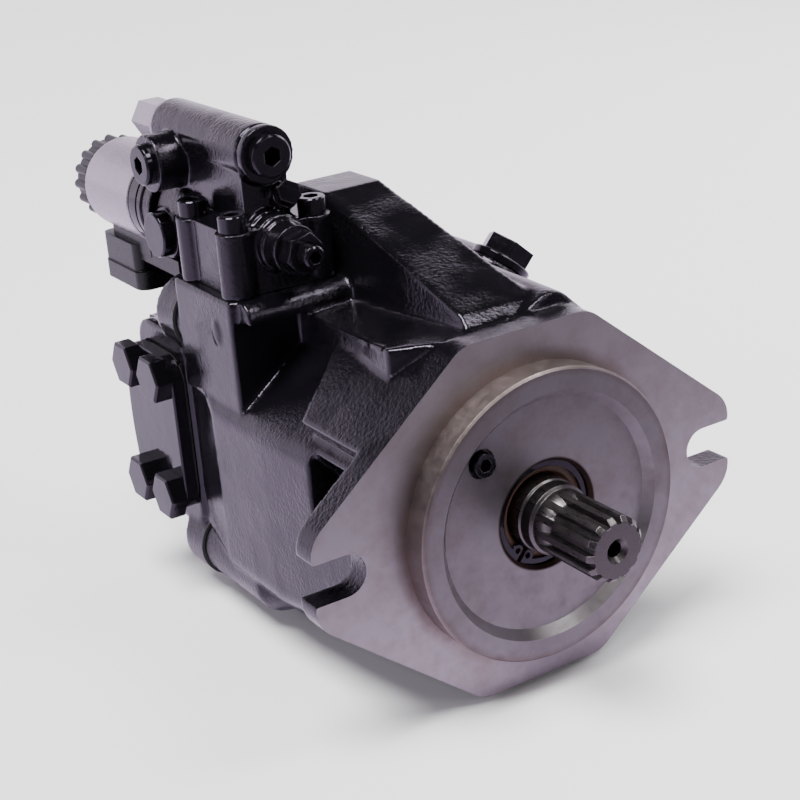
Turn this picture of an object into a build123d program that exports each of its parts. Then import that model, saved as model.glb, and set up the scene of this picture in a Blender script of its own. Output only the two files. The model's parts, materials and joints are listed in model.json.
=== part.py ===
from build123d import *
from math import cos, radians, sin
import os

# Variable-displacement axial piston pump with an SAE B two-bolt flange.
# Units are millimetres.  The shaft axis is Y, the shaft points to -Y, +Z is up.
# The origin is on the shaft axis, in the mounting face of the flange.

os.makedirs("parts", exist_ok=True)

# ---------------------------------------------------------------- mounting flange
flange_thickness = 10.0
flange_half_height = 63.0
flange_half_width = 85.0
flange_flat_half = 25.0
flange_tip_half = 14.3
flange_tip_radius = 12.0
slot_spacing = 146.0
slot_width = 14.4
pilot_radius = 50.8
pilot_length = 9.5
pilot_chamfer = 0.8
recess_mouth_radius = 43.2
recess_floor_radius = 40.2
recess_depth = 3.2

# ---------------------------------------------------------------- housing
body_rear = 134.0
body_half_width = 62.0
body_bottom = 65.0
ledge_height = 64.5
shoulder_height = 70.0
widest_front = 72.0
widest_rear = 108.0
cavity_radius = 46.0
cavity_front = 24.0
corner_boss_radius = 14.0
housing_boss_radius = 13.0
slope_foot = (-60.0, 23.0)
slope_head = (-32.0, 45.0)
web_low_rear = 45.0
web_high_rear = 56.0
web_top_drop_front = 2.0
web_top_drop_rear = 9.0
web_depth = 30.0
shoulder_front_x = -40.0
shoulder_rear_x = -33.0
shoulder_front_y = 20.0
corner_boss_x = 47.0
corner_boss_z = 46.0
corner_boss_front = 92.0
hump_half_width = 12.0
hump_foot_half_width = 16.0
hump_height = 91.0
hump_foot_y = 16.0
hump_crest_y = 101.0
hump_rear_y = 126.0
pad_face_x = 60.0
pad_front_y = 88.0
pad_rear_y = 131.0
pad_bottom = 23.0
ledge_front_y = 80.0
ledge_thickness = 7.5
ledge_round = 6.0
ledge_left_x = -57.0
ledge_right_x = -15.0
valve_flat_right_x = -14.9
drain_seat = Vector(44, 78, 54.2)
drain_axis = Vector(0.669, 0, 0.743)
drain_boss_radius = 13.0
pocket_depth = 31.0
cast_mark_place = (100.0, 51.0)
cast_mark_size = (2.3, 3.6)
cast_mark_height = 0.8

# ---------------------------------------------------------------- port plate
gasket_thickness = 0.5
plate_front = body_rear + gasket_thickness
plate_flange_rear = 149.0
plate_rear = 180.0
port_y = 155.0
port_face_x = 58.0
suction_y = 157.5
suction_face_x = 62.0
pressure_bolt_y = 22.2
pressure_bolt_z = 47.6
pressure_bore_radius = 9.5
suction_bolt_y = 30.2
suction_bolt_z = 58.7
suction_bore_radius = 16.0
port_gasket_thickness = 1.0
port_cover_thickness = 5.0
cover_bulge = 4.5
cover_corner_radius = 10.0
port_bolt_radius = 5.0
port_bolt_head_flats = 16.0
port_bolt_head_height = 6.4

# ---------------------------------------------------------------- rotating group
shaft_radius = 12.7
shaft_tip_y = -42.0
spline_teeth = 13
spline_outer_radius = 11.11
spline_root_radius = 9.4
spline_groove_width = 3.5
spline_shoulder_y = -12.4
spline_run_out_y = -20.0
spline_depth = spline_outer_radius - spline_root_radius
pivot_y = 62.0
piston_count = 9
piston_radius = 8.0
pitch_radius = 27.5
ball_radius = 6.0
piston_ball_clearance = 0.05
piston_length_rear = 114.0
block_radius = 40.0
block_front = 82.0
valve_plate_thickness = 4.0
block_rear = body_rear - valve_plate_thickness - 0.1
swash_face_gap = 7.0
slipper_sole_gap = 0.15
cradle_radius = 32.0
cradle_shell = 2.0
drive_core_radius = 11.0
rear_journal_radius = 10.0
bearing_outer_radius = 25.15
bearing_front = 6.0
bearing_width = 14.2
control_z = 58.0
control_radius = 8.0
bias_z = -48.0
bias_radius = 6.9

# ---------------------------------------------------------------- control valve
valve_x = -37.2
valve_half_width = 18.8
spool_z = 80.5
upper_bore_z = 111.0
valve_base_top = 87.5
valve_screw_x = 15.6
valve_screw_y_front = 93.0
valve_screw_y_rear = 123.0
valve_column_radius = 6.4
valve_front = 88.5
upper_cylinder_radius = 10.2
upper_front = 92.0
upper_rear = 162.5
lower_rear = 165.0
coil_ring_length = 11.0
coil_front = lower_rear + coil_ring_length
coil_rear = 217.0
coil_radius = 18.0
connector_half_width = 11.0


def save(builder, name):
    """Label a finished piece and write it as its own STEP file."""
    builder.part.label = name
    export_step(builder.part, "parts/" + name + ".step")


def across(y):
    """The plane square to the shaft at y: local x is X, local y is Z."""
    return Plane.XZ.offset(-y)


def sideways(x):
    """The plane square to X at x: local x is Y, local y is Z."""
    return Plane.YZ.offset(x)


def turned(points, x=0.0, z=0.0, mode=Mode.ADD):
    """Turn (radius, y) points round an axis along Y that passes through (x, z)."""
    with BuildSketch(Plane(origin=(x, 0, z), x_dir=(1, 0, 0), z_dir=(0, 0, 1))) as half:
        with BuildLine():
            Polyline(*points, close=True)
        make_face()
    revolve(half.sketch, axis=Axis((x, 0, z), (0, 1, 0)), mode=mode)


def drum(radius, y0, y1, x=0.0, z=0.0, mode=Mode.ADD):
    """A plain cylinder along Y from y0 to y1."""
    with BuildSketch(across(y0)) as disc:
        with Locations((x, z)):
            Circle(radius)
    extrude(disc.sketch, amount=-(y1 - y0), mode=mode)


def tube(outer, inner, y0, y1, x=0.0, z=0.0, mode=Mode.ADD):
    """A plain tube along Y from y0 to y1."""
    with BuildSketch(across(y0)) as ring:
        with Locations((x, z)):
            Circle(outer)
            Circle(inner, mode=Mode.SUBTRACT)
    extrude(ring.sketch, amount=-(y1 - y0), mode=mode)


def block(low, high, mode=Mode.ADD):
    """A box between two corners."""
    size = [high[i] - low[i] for i in range(3)]
    middle = [(high[i] + low[i]) / 2 for i in range(3)]
    with Locations(tuple(middle)):
        Box(*size, mode=mode)


def hex_bar(flats, y0, y1, x, z, turn=0.0, mode=Mode.ADD):
    """A hexagonal bar along Y."""
    with BuildSketch(across(y0)) as face:
        with Locations((x, z)):
            RegularPolygon(flats / 2, 6, major_radius=False, rotation=turn)
    extrude(face.sketch, amount=-(y1 - y0), mode=mode)


def hex_crown(flats, y0, y1, x, z):
    """The cone that bevels the corners of a hex whose free end is at y0."""
    full = flats * 0.62
    slope = (full - flats / 2 * 0.96) * 0.5
    length = y1 - y0
    turned(
        [(0, y0), (flats / 2 * 0.96, y0), (full, y0 + slope), (full, y0 + length), (0, y0 + length)],
        x,
        z,
        mode=Mode.INTERSECT,
    )


def outline(y, corners, radius=0.0):
    """A closed section at y through the corners, which may be rounded."""
    with BuildSketch(across(y)) as section:
        with BuildLine():
            Polyline(*corners, close=True)
        make_face()
        if radius:
            fillet(section.vertices(), radius)
    return section.sketch


def section_corners(right_top, right_side, right_foot, left_foot, left_side, left_top):
    """Eight corners, clockwise from the top right."""
    low = right_foot[1]
    return [
        right_top,
        right_side,
        (right_side[0], low),
        right_foot[0],
        left_foot[0],
        (left_side[0], left_foot[1]),
        left_side,
        left_top,
    ]


front_section = section_corners(
    (20, shoulder_height), (57, 33), ((28, -62), -33), ((-28, -62), -33), slope_foot, slope_head
)
middle_section = section_corners(
    (22, shoulder_height),
    (body_half_width, 34),
    ((38, -body_bottom), -41),
    ((-38, -body_bottom), -41),
    (-body_half_width, slope_foot[1] - 1),
    slope_head,
)
joint_section = section_corners(
    (38, 57), (56, 38), ((38, -58), -38), ((-38, -58), -38), (-56, 38), (-38, 57)
)
corner_bosses = [
    (corner_boss_x, corner_boss_z),
    (-corner_boss_x, corner_boss_z),
    (-corner_boss_x, -corner_boss_z),
    (corner_boss_x, -corner_boss_z),
]


def corner_boss_drums(y0, y1, radius=corner_boss_radius, mode=Mode.ADD):
    """One cylinder along Y at each corner screw."""
    for x, z in corner_bosses:
        drum(radius, y0, y1, x, z, mode=mode)


# ================================================================ housing
with BuildPart() as housing:
    # the flange, a stretched hexagon with open slots at its tips
    with BuildSketch(across(0)):
        with BuildLine():
            Polyline(
                (flange_flat_half, flange_half_height),
                (flange_half_width, flange_tip_half),
                (flange_half_width, -flange_tip_half),
                (flange_flat_half, -flange_half_height),
                (-flange_flat_half, -flange_half_height),
                (-flange_half_width, -flange_tip_half),
                (-flange_half_width, flange_tip_half),
                (-flange_flat_half, flange_half_height),
                close=True,
            )
        fillet(make_face().vertices(), flange_tip_radius)
    extrude(amount=-flange_thickness)

    # the casting grows from the flange to the valve pad, then narrows to the joint
    loft([outline(flange_thickness, front_section, 9), outline(widest_front, middle_section, 9)])
    extrude(outline(widest_front, middle_section, 9), amount=widest_front - widest_rear)
    loft([outline(widest_rear, middle_section, 9), outline(body_rear, joint_section, 9)])
    corner_boss_drums(corner_boss_front, body_rear, housing_boss_radius)
    for x, z in corner_bosses:
        if x > 0 or z < 0:
            turned(
                [
                    (0, corner_boss_front - 16),
                    (5, corner_boss_front - 16),
                    (housing_boss_radius, corner_boss_front),
                    (0, corner_boss_front),
                ],
                x,
                z,
            )

    # a web behind the upper left edge of the flange, level with that edge
    edge_width = flange_half_width - flange_flat_half
    edge_rise = flange_half_height - flange_tip_half
    edge_run = Vector(edge_width, 0, edge_rise).normalized()
    edge_normal = Vector(-edge_run.Z, 0, edge_run.X)
    edge_top = Vector(-flange_flat_half, 0, flange_half_height)
    side_drop = (-flange_flat_half - slope_foot[0]) / edge_run.X
    shoulder_drop = (-flange_flat_half - shoulder_front_x) / edge_run.X
    with BuildSketch(Plane(origin=edge_top, x_dir=(0, 1, 0), z_dir=edge_normal)):
        with BuildLine():
            Polyline(
                (flange_thickness - 1, web_top_drop_front),
                (flange_thickness - 1, side_drop),
                (web_low_rear, side_drop),
                (web_high_rear, shoulder_drop),
                (web_high_rear, web_top_drop_rear),
                close=True,
            )
        make_face()
    extrude(amount=-web_depth)

    # the shoulder beside the ridge, which falls away towards the rear
    loft(
        [
            outline(y, [(0, 40), (x, 40), (x, side_z), (0, top_z)])
            for y, x, side_z, top_z in (
                (flange_thickness - 1, -flange_flat_half, 62, 63),
                (shoulder_front_y, shoulder_front_x, 60.5, 63),
                (pad_front_y + 2, shoulder_rear_x, 55, 57.5),
            )
        ],
        ruled=True,
    )

    # the ridge on top, over the control piston, wider at its foot
    with BuildSketch(sideways(-hump_foot_half_width)):
        with BuildLine():
            Polyline(
                (flange_thickness, 50),
                (flange_thickness, flange_half_height - 1),
                (hump_foot_y, flange_half_height + 4),
                (hump_crest_y, hump_height),
                (hump_rear_y - 4, hump_height),
                (hump_rear_y, hump_height - 6),
                (hump_rear_y, 50),
                close=True,
            )
        make_face()
    ridge_block = extrude(amount=2 * hump_foot_half_width, mode=Mode.PRIVATE)
    ridge_corners = [
        (hump_foot_half_width, 50),
        (hump_foot_half_width, 57),
        (hump_half_width, hump_height),
        (-hump_half_width, hump_height),
        (-hump_foot_half_width, 57),
        (-hump_foot_half_width, 50),
    ]
    flanks = extrude(outline(flange_thickness, ridge_corners), amount=-hump_rear_y, mode=Mode.PRIVATE)
    add(ridge_block & flanks)

    # the pad for the control valve, with a shelf in front of it
    block((-pad_face_x, pad_front_y, pad_bottom), (-8, pad_rear_y, ledge_height))
    ledge_low = ledge_height - ledge_thickness
    with BuildSketch(sideways(ledge_left_x)):
        with BuildLine():
            Polyline(
                (ledge_front_y + ledge_round, ledge_height),
                (pad_front_y + 1, ledge_height),
                (pad_front_y + 1, ledge_low),
                (ledge_front_y, ledge_low),
                (ledge_front_y, ledge_height - ledge_round),
            )
            JernArc((ledge_front_y, ledge_height - ledge_round), (0, 1), ledge_round, -90)
        make_face()
    extrude(amount=ledge_right_x - ledge_left_x)

    # the flat that the control valve stands on
    block(
        (-pad_face_x - 10, ledge_front_y - 2, ledge_height),
        (valve_flat_right_x, body_rear + 1, ledge_height + 30),
        mode=Mode.SUBTRACT,
    )

    # a small oval cast mark on the side of the pad
    with BuildSketch(sideways(-pad_face_x)):
        with Locations(cast_mark_place):
            Ellipse(*cast_mark_size)
    extrude(amount=-cast_mark_height)

    # the boss of the upper drain port, square to the sloping top right side
    with BuildSketch(Plane(origin=drain_seat - drain_axis * 8, z_dir=drain_axis)):
        Circle(drain_boss_radius)
    extrude(amount=9.5)

    # pockets behind the flange that leave room for the mounting bolt heads
    for side in (-1, 1):
        upper_pocket = [(side * 62, 28), (side * 49, 14), (side * 49, 3), (side * 64, 3), (side * 64, 28)]
        extrude(outline(flange_thickness, upper_pocket), amount=-pocket_depth, mode=Mode.SUBTRACT)
        with BuildSketch(Plane.XY.offset(-52)):
            with BuildLine():
                Polyline(
                    (side * 52, flange_thickness),
                    (side * 70, flange_thickness),
                    (side * 70, flange_thickness + 32),
                    (side * 61.5, flange_thickness + 30),
                    close=True,
                )
            make_face()
        extrude(amount=28, mode=Mode.SUBTRACT)

    # the pilot, with the shallow coned recess in its face
    turned(
        [
            (0, flange_thickness),
            (pilot_radius, flange_thickness),
            (pilot_radius, -pilot_length + pilot_chamfer),
            (pilot_radius - pilot_chamfer, -pilot_length),
            (0, -pilot_length),
        ]
    )
    turned(
        [
            (0, -pilot_length - 1),
            (recess_mouth_radius, -pilot_length - 1),
            (recess_mouth_radius, -pilot_length),
            (recess_floor_radius, -pilot_length + recess_depth),
            (0, -pilot_length + recess_depth),
        ],
        mode=Mode.SUBTRACT,
    )

    # open mounting slots
    slot_middle = slot_spacing / 2
    for side in (-1, 1):
        drum(slot_width / 2, -1, flange_thickness + 1, side * slot_middle, 0, mode=Mode.SUBTRACT)
        block(
            (min(side * slot_middle, side * 95), -1, -slot_width / 2),
            (max(side * slot_middle, side * 95), flange_thickness + 1, slot_width / 2),
            mode=Mode.SUBTRACT,
        )

    # the bore for the shaft seal, the front bearing and the rotating group
    turned(
        [
            (0, -pilot_length),
            (19.3, -pilot_length),
            (19.3, -6.3),
            (18.2, -5.2),
            (18.2, 4),
            (16.5, 4),
            (16.5, bearing_front),
            (bearing_outer_radius, bearing_front),
            (bearing_outer_radius, cavity_front),
            (0, cavity_front),
        ],
        mode=Mode.SUBTRACT,
    )
    tube(19.4, 18, -4.6, -3.2, mode=Mode.SUBTRACT)
    drum(cavity_radius, cavity_front, body_rear, mode=Mode.SUBTRACT)

    # cradle seats for the swashplate, one each side of the shaft
    for side in (-1, 1):
        block(
            (min(side * 27, side * 43), cavity_front - 1, -22),
            (max(side * 27, side * 43), 40, 22),
        )
    with BuildSketch(sideways(-43)):
        with Locations((pivot_y, 0)):
            Circle(cradle_radius + cradle_shell + 0.1)
    extrude(amount=86, mode=Mode.SUBTRACT)

    # slot and bore for the control arm and control piston, at the top
    block((-8.4, 36, 40), (8.4, 78, 68), mode=Mode.SUBTRACT)
    drum(control_radius + 0.05, 76, 122, 0, control_z, mode=Mode.SUBTRACT)
    # pocket and bore for the bias lug, piston and spring, at the bottom
    block((-9, 26, -57), (9, 58, -40), mode=Mode.SUBTRACT)
    drum(bias_radius + 0.08, 52, 112, 0, bias_z, mode=Mode.SUBTRACT)

    # drain port with its spot face, pocket for the set screw, and screw holes
    with BuildSketch(Plane(origin=drain_seat + drain_axis * 1.5, z_dir=drain_axis)):
        Circle(12.2)
    extrude(amount=20, mode=Mode.SUBTRACT)
    with BuildSketch(Plane(origin=drain_seat + drain_axis * 2, z_dir=drain_axis)):
        Circle(7)
    extrude(amount=-24, mode=Mode.SUBTRACT)
    drum(5.0, -pilot_length - 1, -3.5, -24.5, 25.3, mode=Mode.SUBTRACT)
    drum(3.05, -4, 2, -24.5, 25.3, mode=Mode.SUBTRACT)
    corner_boss_drums(body_rear - 24, body_rear + 1, radius=5.0, mode=Mode.SUBTRACT)
    for x in (valve_x - valve_screw_x, valve_x + valve_screw_x):
        for y in (valve_screw_y_front, valve_screw_y_rear):
            with Locations((x, y, ledge_height - 7)):
                Cylinder(3.0, 14.02, mode=Mode.SUBTRACT)
save(housing, "housing")

# side, port face, middle, bolt spacings and cover size of the two covered ports
covered_ports = [
    (-1, port_face_x, port_y, pressure_bolt_y, pressure_bolt_z, 38, 62),
    (1, suction_face_x, suction_y, suction_bolt_y, suction_bolt_z, 45, 76),
]

# ================================================================ port plate
with BuildPart() as port_plate:
    extrude(outline(plate_front, joint_section, 9), amount=-(plate_flange_rear - plate_front))
    corner_boss_drums(plate_front, plate_flange_rear)
    with BuildSketch(across(plate_flange_rear - 1)):
        RectangleRounded(104, 98, 14)
    extrude(amount=-(plate_rear - plate_flange_rear + 1))
    fillet(port_plate.faces().sort_by(Axis.Y)[-1].edges(), 4)
    # a raised pad for each port
    with BuildSketch(sideways(-port_face_x)):
        with Locations((port_y + 0.5, 0)):
            RectangleRounded(39, 78, 9)
    extrude(amount=20)
    with BuildSketch(sideways(suction_face_x)):
        with Locations((suction_y, 0)):
            RectangleRounded(45, 80, 9)
    extrude(amount=-24)
    # room for the heads of the four corner screws
    corner_boss_drums(plate_flange_rear, plate_rear + 4, radius=10.0, mode=Mode.SUBTRACT)
    # port bores
    with BuildSketch(sideways(-port_face_x)):
        with Locations((port_y, 0)):
            Circle(pressure_bore_radius)
    extrude(amount=40, mode=Mode.SUBTRACT)
    with BuildSketch(sideways(suction_face_x)):
        with Locations((suction_y, 0)):
            Circle(suction_bore_radius)
    extrude(amount=-44, mode=Mode.SUBTRACT)
    # kidney passages from the joint face into the port bores
    for side in (-1, 1):
        with BuildSketch(across(plate_front)):
            with Locations(Location((0, 0), 90 + 90 * side)):
                SlotArc(CenterArc((0, 0), pitch_radius, -55, 110), 9)
        extrude(amount=-(port_y - plate_front), mode=Mode.SUBTRACT)
    # rear bearing seat and blind holes for the port bolts
    drum(14.0, plate_front, plate_front + 18, mode=Mode.SUBTRACT)
    corner_boss_drums(plate_front - 1, plate_flange_rear + 1, radius=5.2, mode=Mode.SUBTRACT)
    for side, face_x, middle_y, step_y, step_z, width, height in covered_ports:
        with BuildSketch(sideways(side * face_x)):
            with Locations((middle_y, 0)):
                with GridLocations(step_y, step_z, 2, 2):
                    Circle(port_bolt_radius)
        extrude(amount=-side * 16, mode=Mode.SUBTRACT)
save(port_plate, "port_plate")


# ================================================================ gaskets and covers
with BuildPart() as gaskets:
    # the flat gasket of the rear joint, with openings for the cavity and the screws
    extrude(outline(body_rear, joint_section, 9), amount=-gasket_thickness)
    corner_boss_drums(body_rear, body_rear + gasket_thickness)
    drum(cavity_radius, body_rear - 1, plate_front + 1, mode=Mode.SUBTRACT)
    corner_boss_drums(body_rear - 1, plate_front + 1, radius=5.4, mode=Mode.SUBTRACT)
    # the two port gaskets
    for side, face_x, middle_y, step_y, step_z, width, height in covered_ports:
        with BuildSketch(sideways(side * face_x)):
            with Locations((middle_y, 0)):
                RectangleRounded(width - 1, height - 1, 11)
                with GridLocations(step_y, step_z, 2, 2):
                    Circle(port_bolt_radius + 0.4, mode=Mode.SUBTRACT)
        extrude(amount=side * port_gasket_thickness)
save(gaskets, "gaskets")


def port_cover(side, face_x, middle_y, step_y, step_z, width, height):
    """A flat cover plate with four bolt holes, bulged at its rear edge."""
    with BuildPart() as cover:
        with BuildSketch(sideways(side * (face_x + port_gasket_thickness))) as shape:
            front = middle_y - width / 2
            rear = middle_y + width / 2
            top = height / 2
            with BuildLine():
                Polyline((rear, top), (front, top), (front, -top), (rear, -top))
                ThreePointArc((rear, -top), (rear + cover_bulge, 0), (rear, top))
            make_face()
            fillet(shape.vertices(), cover_corner_radius)
            with Locations((middle_y, 0)):
                with GridLocations(step_y, step_z, 2, 2):
                    Circle(port_bolt_radius + 0.4, mode=Mode.SUBTRACT)
        extrude(amount=side * port_cover_thickness)
        outer = cover.faces().sort_by(Axis.X)[0 if side < 0 else -1]
        fillet(outer.outer_wire().edges(), 0.8)
    return cover


pressure_cover = port_cover(*covered_ports[0])
save(pressure_cover, "pressure_port_cover")
suction_cover = port_cover(*covered_ports[1])
save(suction_cover, "suction_port_cover")

cover_stack = port_gasket_thickness + port_cover_thickness
with BuildPart() as port_bolts:
    for side, face_x, middle_y, step_y, step_z, width, height in covered_ports:
        seat_x = side * (face_x + cover_stack)
        with BuildSketch(sideways(seat_x)):
            with Locations((middle_y, 0)):
                with GridLocations(step_y, step_z, 2, 2):
                    RegularPolygon(port_bolt_head_flats / 2, 6, major_radius=False)
        heads = extrude(amount=side * port_bolt_head_height)
        free_faces = heads.faces().sort_by(Axis.X)
        chamfer(ShapeList(free_faces[:4] if side < 0 else free_faces[-4:]).edges(), 0.7)
        with BuildSketch(sideways(seat_x)):
            with Locations((middle_y, 0)):
                with GridLocations(step_y, step_z, 2, 2):
                    Circle(port_bolt_radius - 0.05)
        extrude(amount=-side * 20)
save(port_bolts, "port_cover_bolts")

with BuildPart() as plate_screws:
    for x, z in corner_bosses:
        drum(4.95, body_rear - 20, plate_flange_rear, x, z)
        drum(8.0, plate_flange_rear, plate_flange_rear + 10, x, z)
    chamfer(plate_screws.faces().sort_by(Axis.Y)[-4:].edges(), 0.8)
    for x, z in corner_bosses:
        hex_bar(8, plate_flange_rear + 5, plate_flange_rear + 11, x, z, mode=Mode.SUBTRACT)
save(plate_screws, "port_plate_screws")

with BuildPart() as drain_plug:
    seat = drain_seat + drain_axis * 1.5
    with BuildSketch(Plane(origin=seat, z_dir=drain_axis)):
        Circle(6.95)
    extrude(amount=-14)
    with BuildSketch(Plane(origin=seat, z_dir=drain_axis)):
        Circle(11.5)
    extrude(amount=3.5)
    chamfer(drain_plug.edges().filter_by(GeomType.CIRCLE).sort_by(SortBy.RADIUS)[-2:], 0.6)
    with BuildSketch(Plane(origin=seat + drain_axis * 3.4, z_dir=drain_axis)):
        RegularPolygon(8.5, 6, major_radius=False)
    extrude(amount=6.5)
save(drain_plug, "drain_plug")

with BuildPart() as set_screw:
    drum(4.0, -8.6, -3.6, -24.5, 25.3)
    drum(3.0, -3.7, 1.5, -24.5, 25.3)
    hex_bar(4, -9, -5.6, -24.5, 25.3, mode=Mode.SUBTRACT)
save(set_screw, "pilot_set_screw")

# ================================================================ shaft and bearings
shaft_steps = [
    (0, shaft_tip_y),
    (spline_outer_radius, shaft_tip_y),
    (spline_outer_radius, -13.2),
    (12.1, spline_shoulder_y),
    (12.1, -8.0),
    (shaft_radius, -7.4),
    (shaft_radius, bearing_front + bearing_width + 0.6),
    (12.5, bearing_front + bearing_width + 0.6),
    (12.5, 52),
    (drive_core_radius, 53.5),
    (drive_core_radius, block_rear - 2),
    (rear_journal_radius, block_rear - 1),
    (rear_journal_radius, plate_front + 15.5),
    (0, plate_front + 15.5),
]
with BuildPart() as drive_shaft:
    turned(shaft_steps)
    # spline grooves, wider at the outside, with a rounded run-out at the shoulder
    with BuildSketch(across(shaft_tip_y - 1)):
        with PolarLocations((spline_outer_radius + spline_root_radius) / 2, spline_teeth):
            Trapezoid(spline_groove_width, spline_depth + 0.8, 70, rotation=90)
    extrude(amount=-(spline_shoulder_y - 1 - shaft_tip_y), mode=Mode.SUBTRACT)
    root_end = (spline_root_radius - 0.1, spline_run_out_y)
    run_out_top = (spline_outer_radius, spline_run_out_y + 5.5)
    with BuildSketch(Plane.XY):
        with BuildLine():
            Line((0, root_end[1]), root_end)
            RadiusArc(root_end, run_out_top, -9)
            Polyline(
                run_out_top,
                (spline_outer_radius, spline_shoulder_y),
                (0, spline_shoulder_y),
                (0, root_end[1]),
            )
        make_face()
    revolve(axis=Axis.Y)
    turned(
        [
            (spline_outer_radius - 1.6, shaft_tip_y - 1),
            (spline_outer_radius + 3, shaft_tip_y - 1),
            (spline_outer_radius + 3, shaft_tip_y + 3.0),
            (spline_outer_radius + 0.1, shaft_tip_y + 1.8),
            (spline_outer_radius - 1.6, shaft_tip_y),
        ],
        mode=Mode.SUBTRACT,
    )
    # centre thread in the shaft end
    turned(
        [(0, shaft_tip_y - 1), (4.2, shaft_tip_y - 1), (4.2, shaft_tip_y), (2.6, shaft_tip_y + 1.6),
         (2.6, shaft_tip_y + 18), (0, shaft_tip_y + 19.5)],
        mode=Mode.SUBTRACT,
    )
save(drive_shaft, "drive_shaft")

with BuildPart() as shaft_seal:
    turned(
        [(18.15, -3.0), (18.15, 3.9), (14.4, 3.9), (14.4, 0.5), (12.74, -0.2), (12.74, -1.4), (14.0, -3.0)]
    )
save(shaft_seal, "shaft_seal")

with BuildPart() as seal_ring:
    tube(19.2, 16.0, -4.4, -3.4)
    # the gap and the two eyes of the ring, at the lower left
    eye_turn = 232
    for spread in (-9, 9):
        angle = radians(eye_turn + spread)
        drum(2.3, -4.4, -3.4, 15.4 * cos(angle), 15.4 * sin(angle))
    for spread in (-9, 9):
        angle = radians(eye_turn + spread)
        drum(1.0, -5, -3, 15.2 * cos(angle), 15.2 * sin(angle), mode=Mode.SUBTRACT)
    with BuildSketch(across(-5)):
        with Locations(Rotation(0, 0, eye_turn)):
            with Locations((17, 0)):
                Rectangle(12, 1.6)
    extrude(amount=-2.4, mode=Mode.SUBTRACT)
save(seal_ring, "seal_retaining_ring")

bearing_rear = bearing_front + bearing_width
with BuildPart() as bearing_cup:
    turned(
        [(bearing_outer_radius - 0.02, bearing_front + 0.1), (bearing_outer_radius - 0.02, bearing_rear - 2),
         (21.2, bearing_rear - 2), (23.0, bearing_front + 0.1)]
    )
save(bearing_cup, "front_bearing_cup")

roller_lean = 7.0
with BuildPart() as bearing_cone:
    turned(
        [(shaft_radius + 0.02, bearing_front + 0.6), (17.2, bearing_front + 0.6), (16.0, bearing_rear - 2.2),
         (17.6, bearing_rear - 2.0), (17.6, bearing_rear), (shaft_radius + 0.02, bearing_rear)]
    )
    for i in range(15):
        with Locations(Rotation(0, i * 24, 0)):
            with Locations(Location((18.85, bearing_front + 6.6, 0), (-90, 0, -roller_lean))):
                Cone(2.6, 2.2, 9.0)
save(bearing_cone, "front_bearing_cone")

with BuildPart() as rear_cup:
    tube(13.98, 12.6, plate_front + 0.2, plate_front + 15.8)
save(rear_cup, "rear_bearing_cup")

with BuildPart() as rear_rollers:
    with BuildSketch(across(plate_front + 1.5)):
        with PolarLocations(rear_journal_radius + 1.28, 18):
            Circle(1.22)
    extrude(amount=-12.5)
save(rear_rollers, "rear_bearing_rollers")

# ================================================================ rotating group
piston_angles = [90 + i * 360 / piston_count for i in range(piston_count)]
piston_places = [
    (pitch_radius * cos(radians(a)), pitch_radius * sin(radians(a))) for a in piston_angles
]

with BuildPart() as cylinder_block:
    tube(block_radius, drive_core_radius + 0.04, block_front, block_rear)
    chamfer(cylinder_block.faces().sort_by(Axis.Y)[0].outer_wire().edges(), 1.5)
    drum(17.0, block_front - 1, 110, mode=Mode.SUBTRACT)
    with BuildSketch(across(block_front - 1)):
        with PolarLocations(pitch_radius, piston_count, start_angle=90):
            Circle(piston_radius + 0.03)
    extrude(amount=-(124.5 - block_front + 1), mode=Mode.SUBTRACT)
    with BuildSketch(across(120)):
        for a in piston_angles:
            SlotArc(CenterArc((0, 0), pitch_radius - 1, a - 12, 24), 6)
    extrude(amount=-15, mode=Mode.SUBTRACT)
save(cylinder_block, "cylinder_block")

with BuildPart() as valve_plate:
    tube(block_radius - 0.5, 14.5, body_rear - valve_plate_thickness, body_rear + gasket_thickness - 0.02)
    with BuildSketch(across(body_rear - valve_plate_thickness - 1)):
        for middle in (0, 180):
            SlotArc(CenterArc((0, 0), pitch_radius - 1, middle - 58, 116), 6)
    extrude(amount=-8, mode=Mode.SUBTRACT)
save(valve_plate, "valve_plate")

for number, (x, z) in enumerate(piston_places, start=1):
    with BuildPart() as piston:
        turned(
            [
                (0, pivot_y),
                (ball_radius * 0.62, pivot_y + ball_radius * 0.5),
                (3.6, pivot_y + 6.2),
                (4.2, 72.5),
                (piston_radius - 0.6, 74),
                (piston_radius, 75.5),
                (piston_radius, piston_length_rear - 1),
                (piston_radius - 1, piston_length_rear),
                (4.5, piston_length_rear),
                (4.5, 80),
                (0, 78),
            ],
            x,
            z,
        )
        with Locations((x, pivot_y, z)):
            Sphere(ball_radius)
        drum(1.0, pivot_y - 8, 90, x, z, mode=Mode.SUBTRACT)
    save(piston, f"piston_{number}")

    sole = pivot_y - swash_face_gap + slipper_sole_gap
    with BuildPart() as slipper:
        turned(
            [
                (0, sole),
                (9.1, sole),
                (9.1, sole + 2.0),
                (7.2, sole + 2.4),
                (7.2, sole + 4.8),
                (7.6, sole + 5.4),
                (7.6, pivot_y + 2.2),
                (6.9, pivot_y + 3.2),
                (0, pivot_y + 3.2),
            ],
            x,
            z,
        )
        with Locations((x, pivot_y, z)):
            Sphere(ball_radius + piston_ball_clearance, mode=Mode.SUBTRACT)
        drum(5.3, pivot_y + 1, pivot_y + 8, x, z, mode=Mode.SUBTRACT)
        drum(4.6, sole - 1, sole + 0.8, x, z, mode=Mode.SUBTRACT)
        drum(0.8, sole - 1, pivot_y, x, z, mode=Mode.SUBTRACT)
    save(slipper, f"slipper_{number}")

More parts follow.
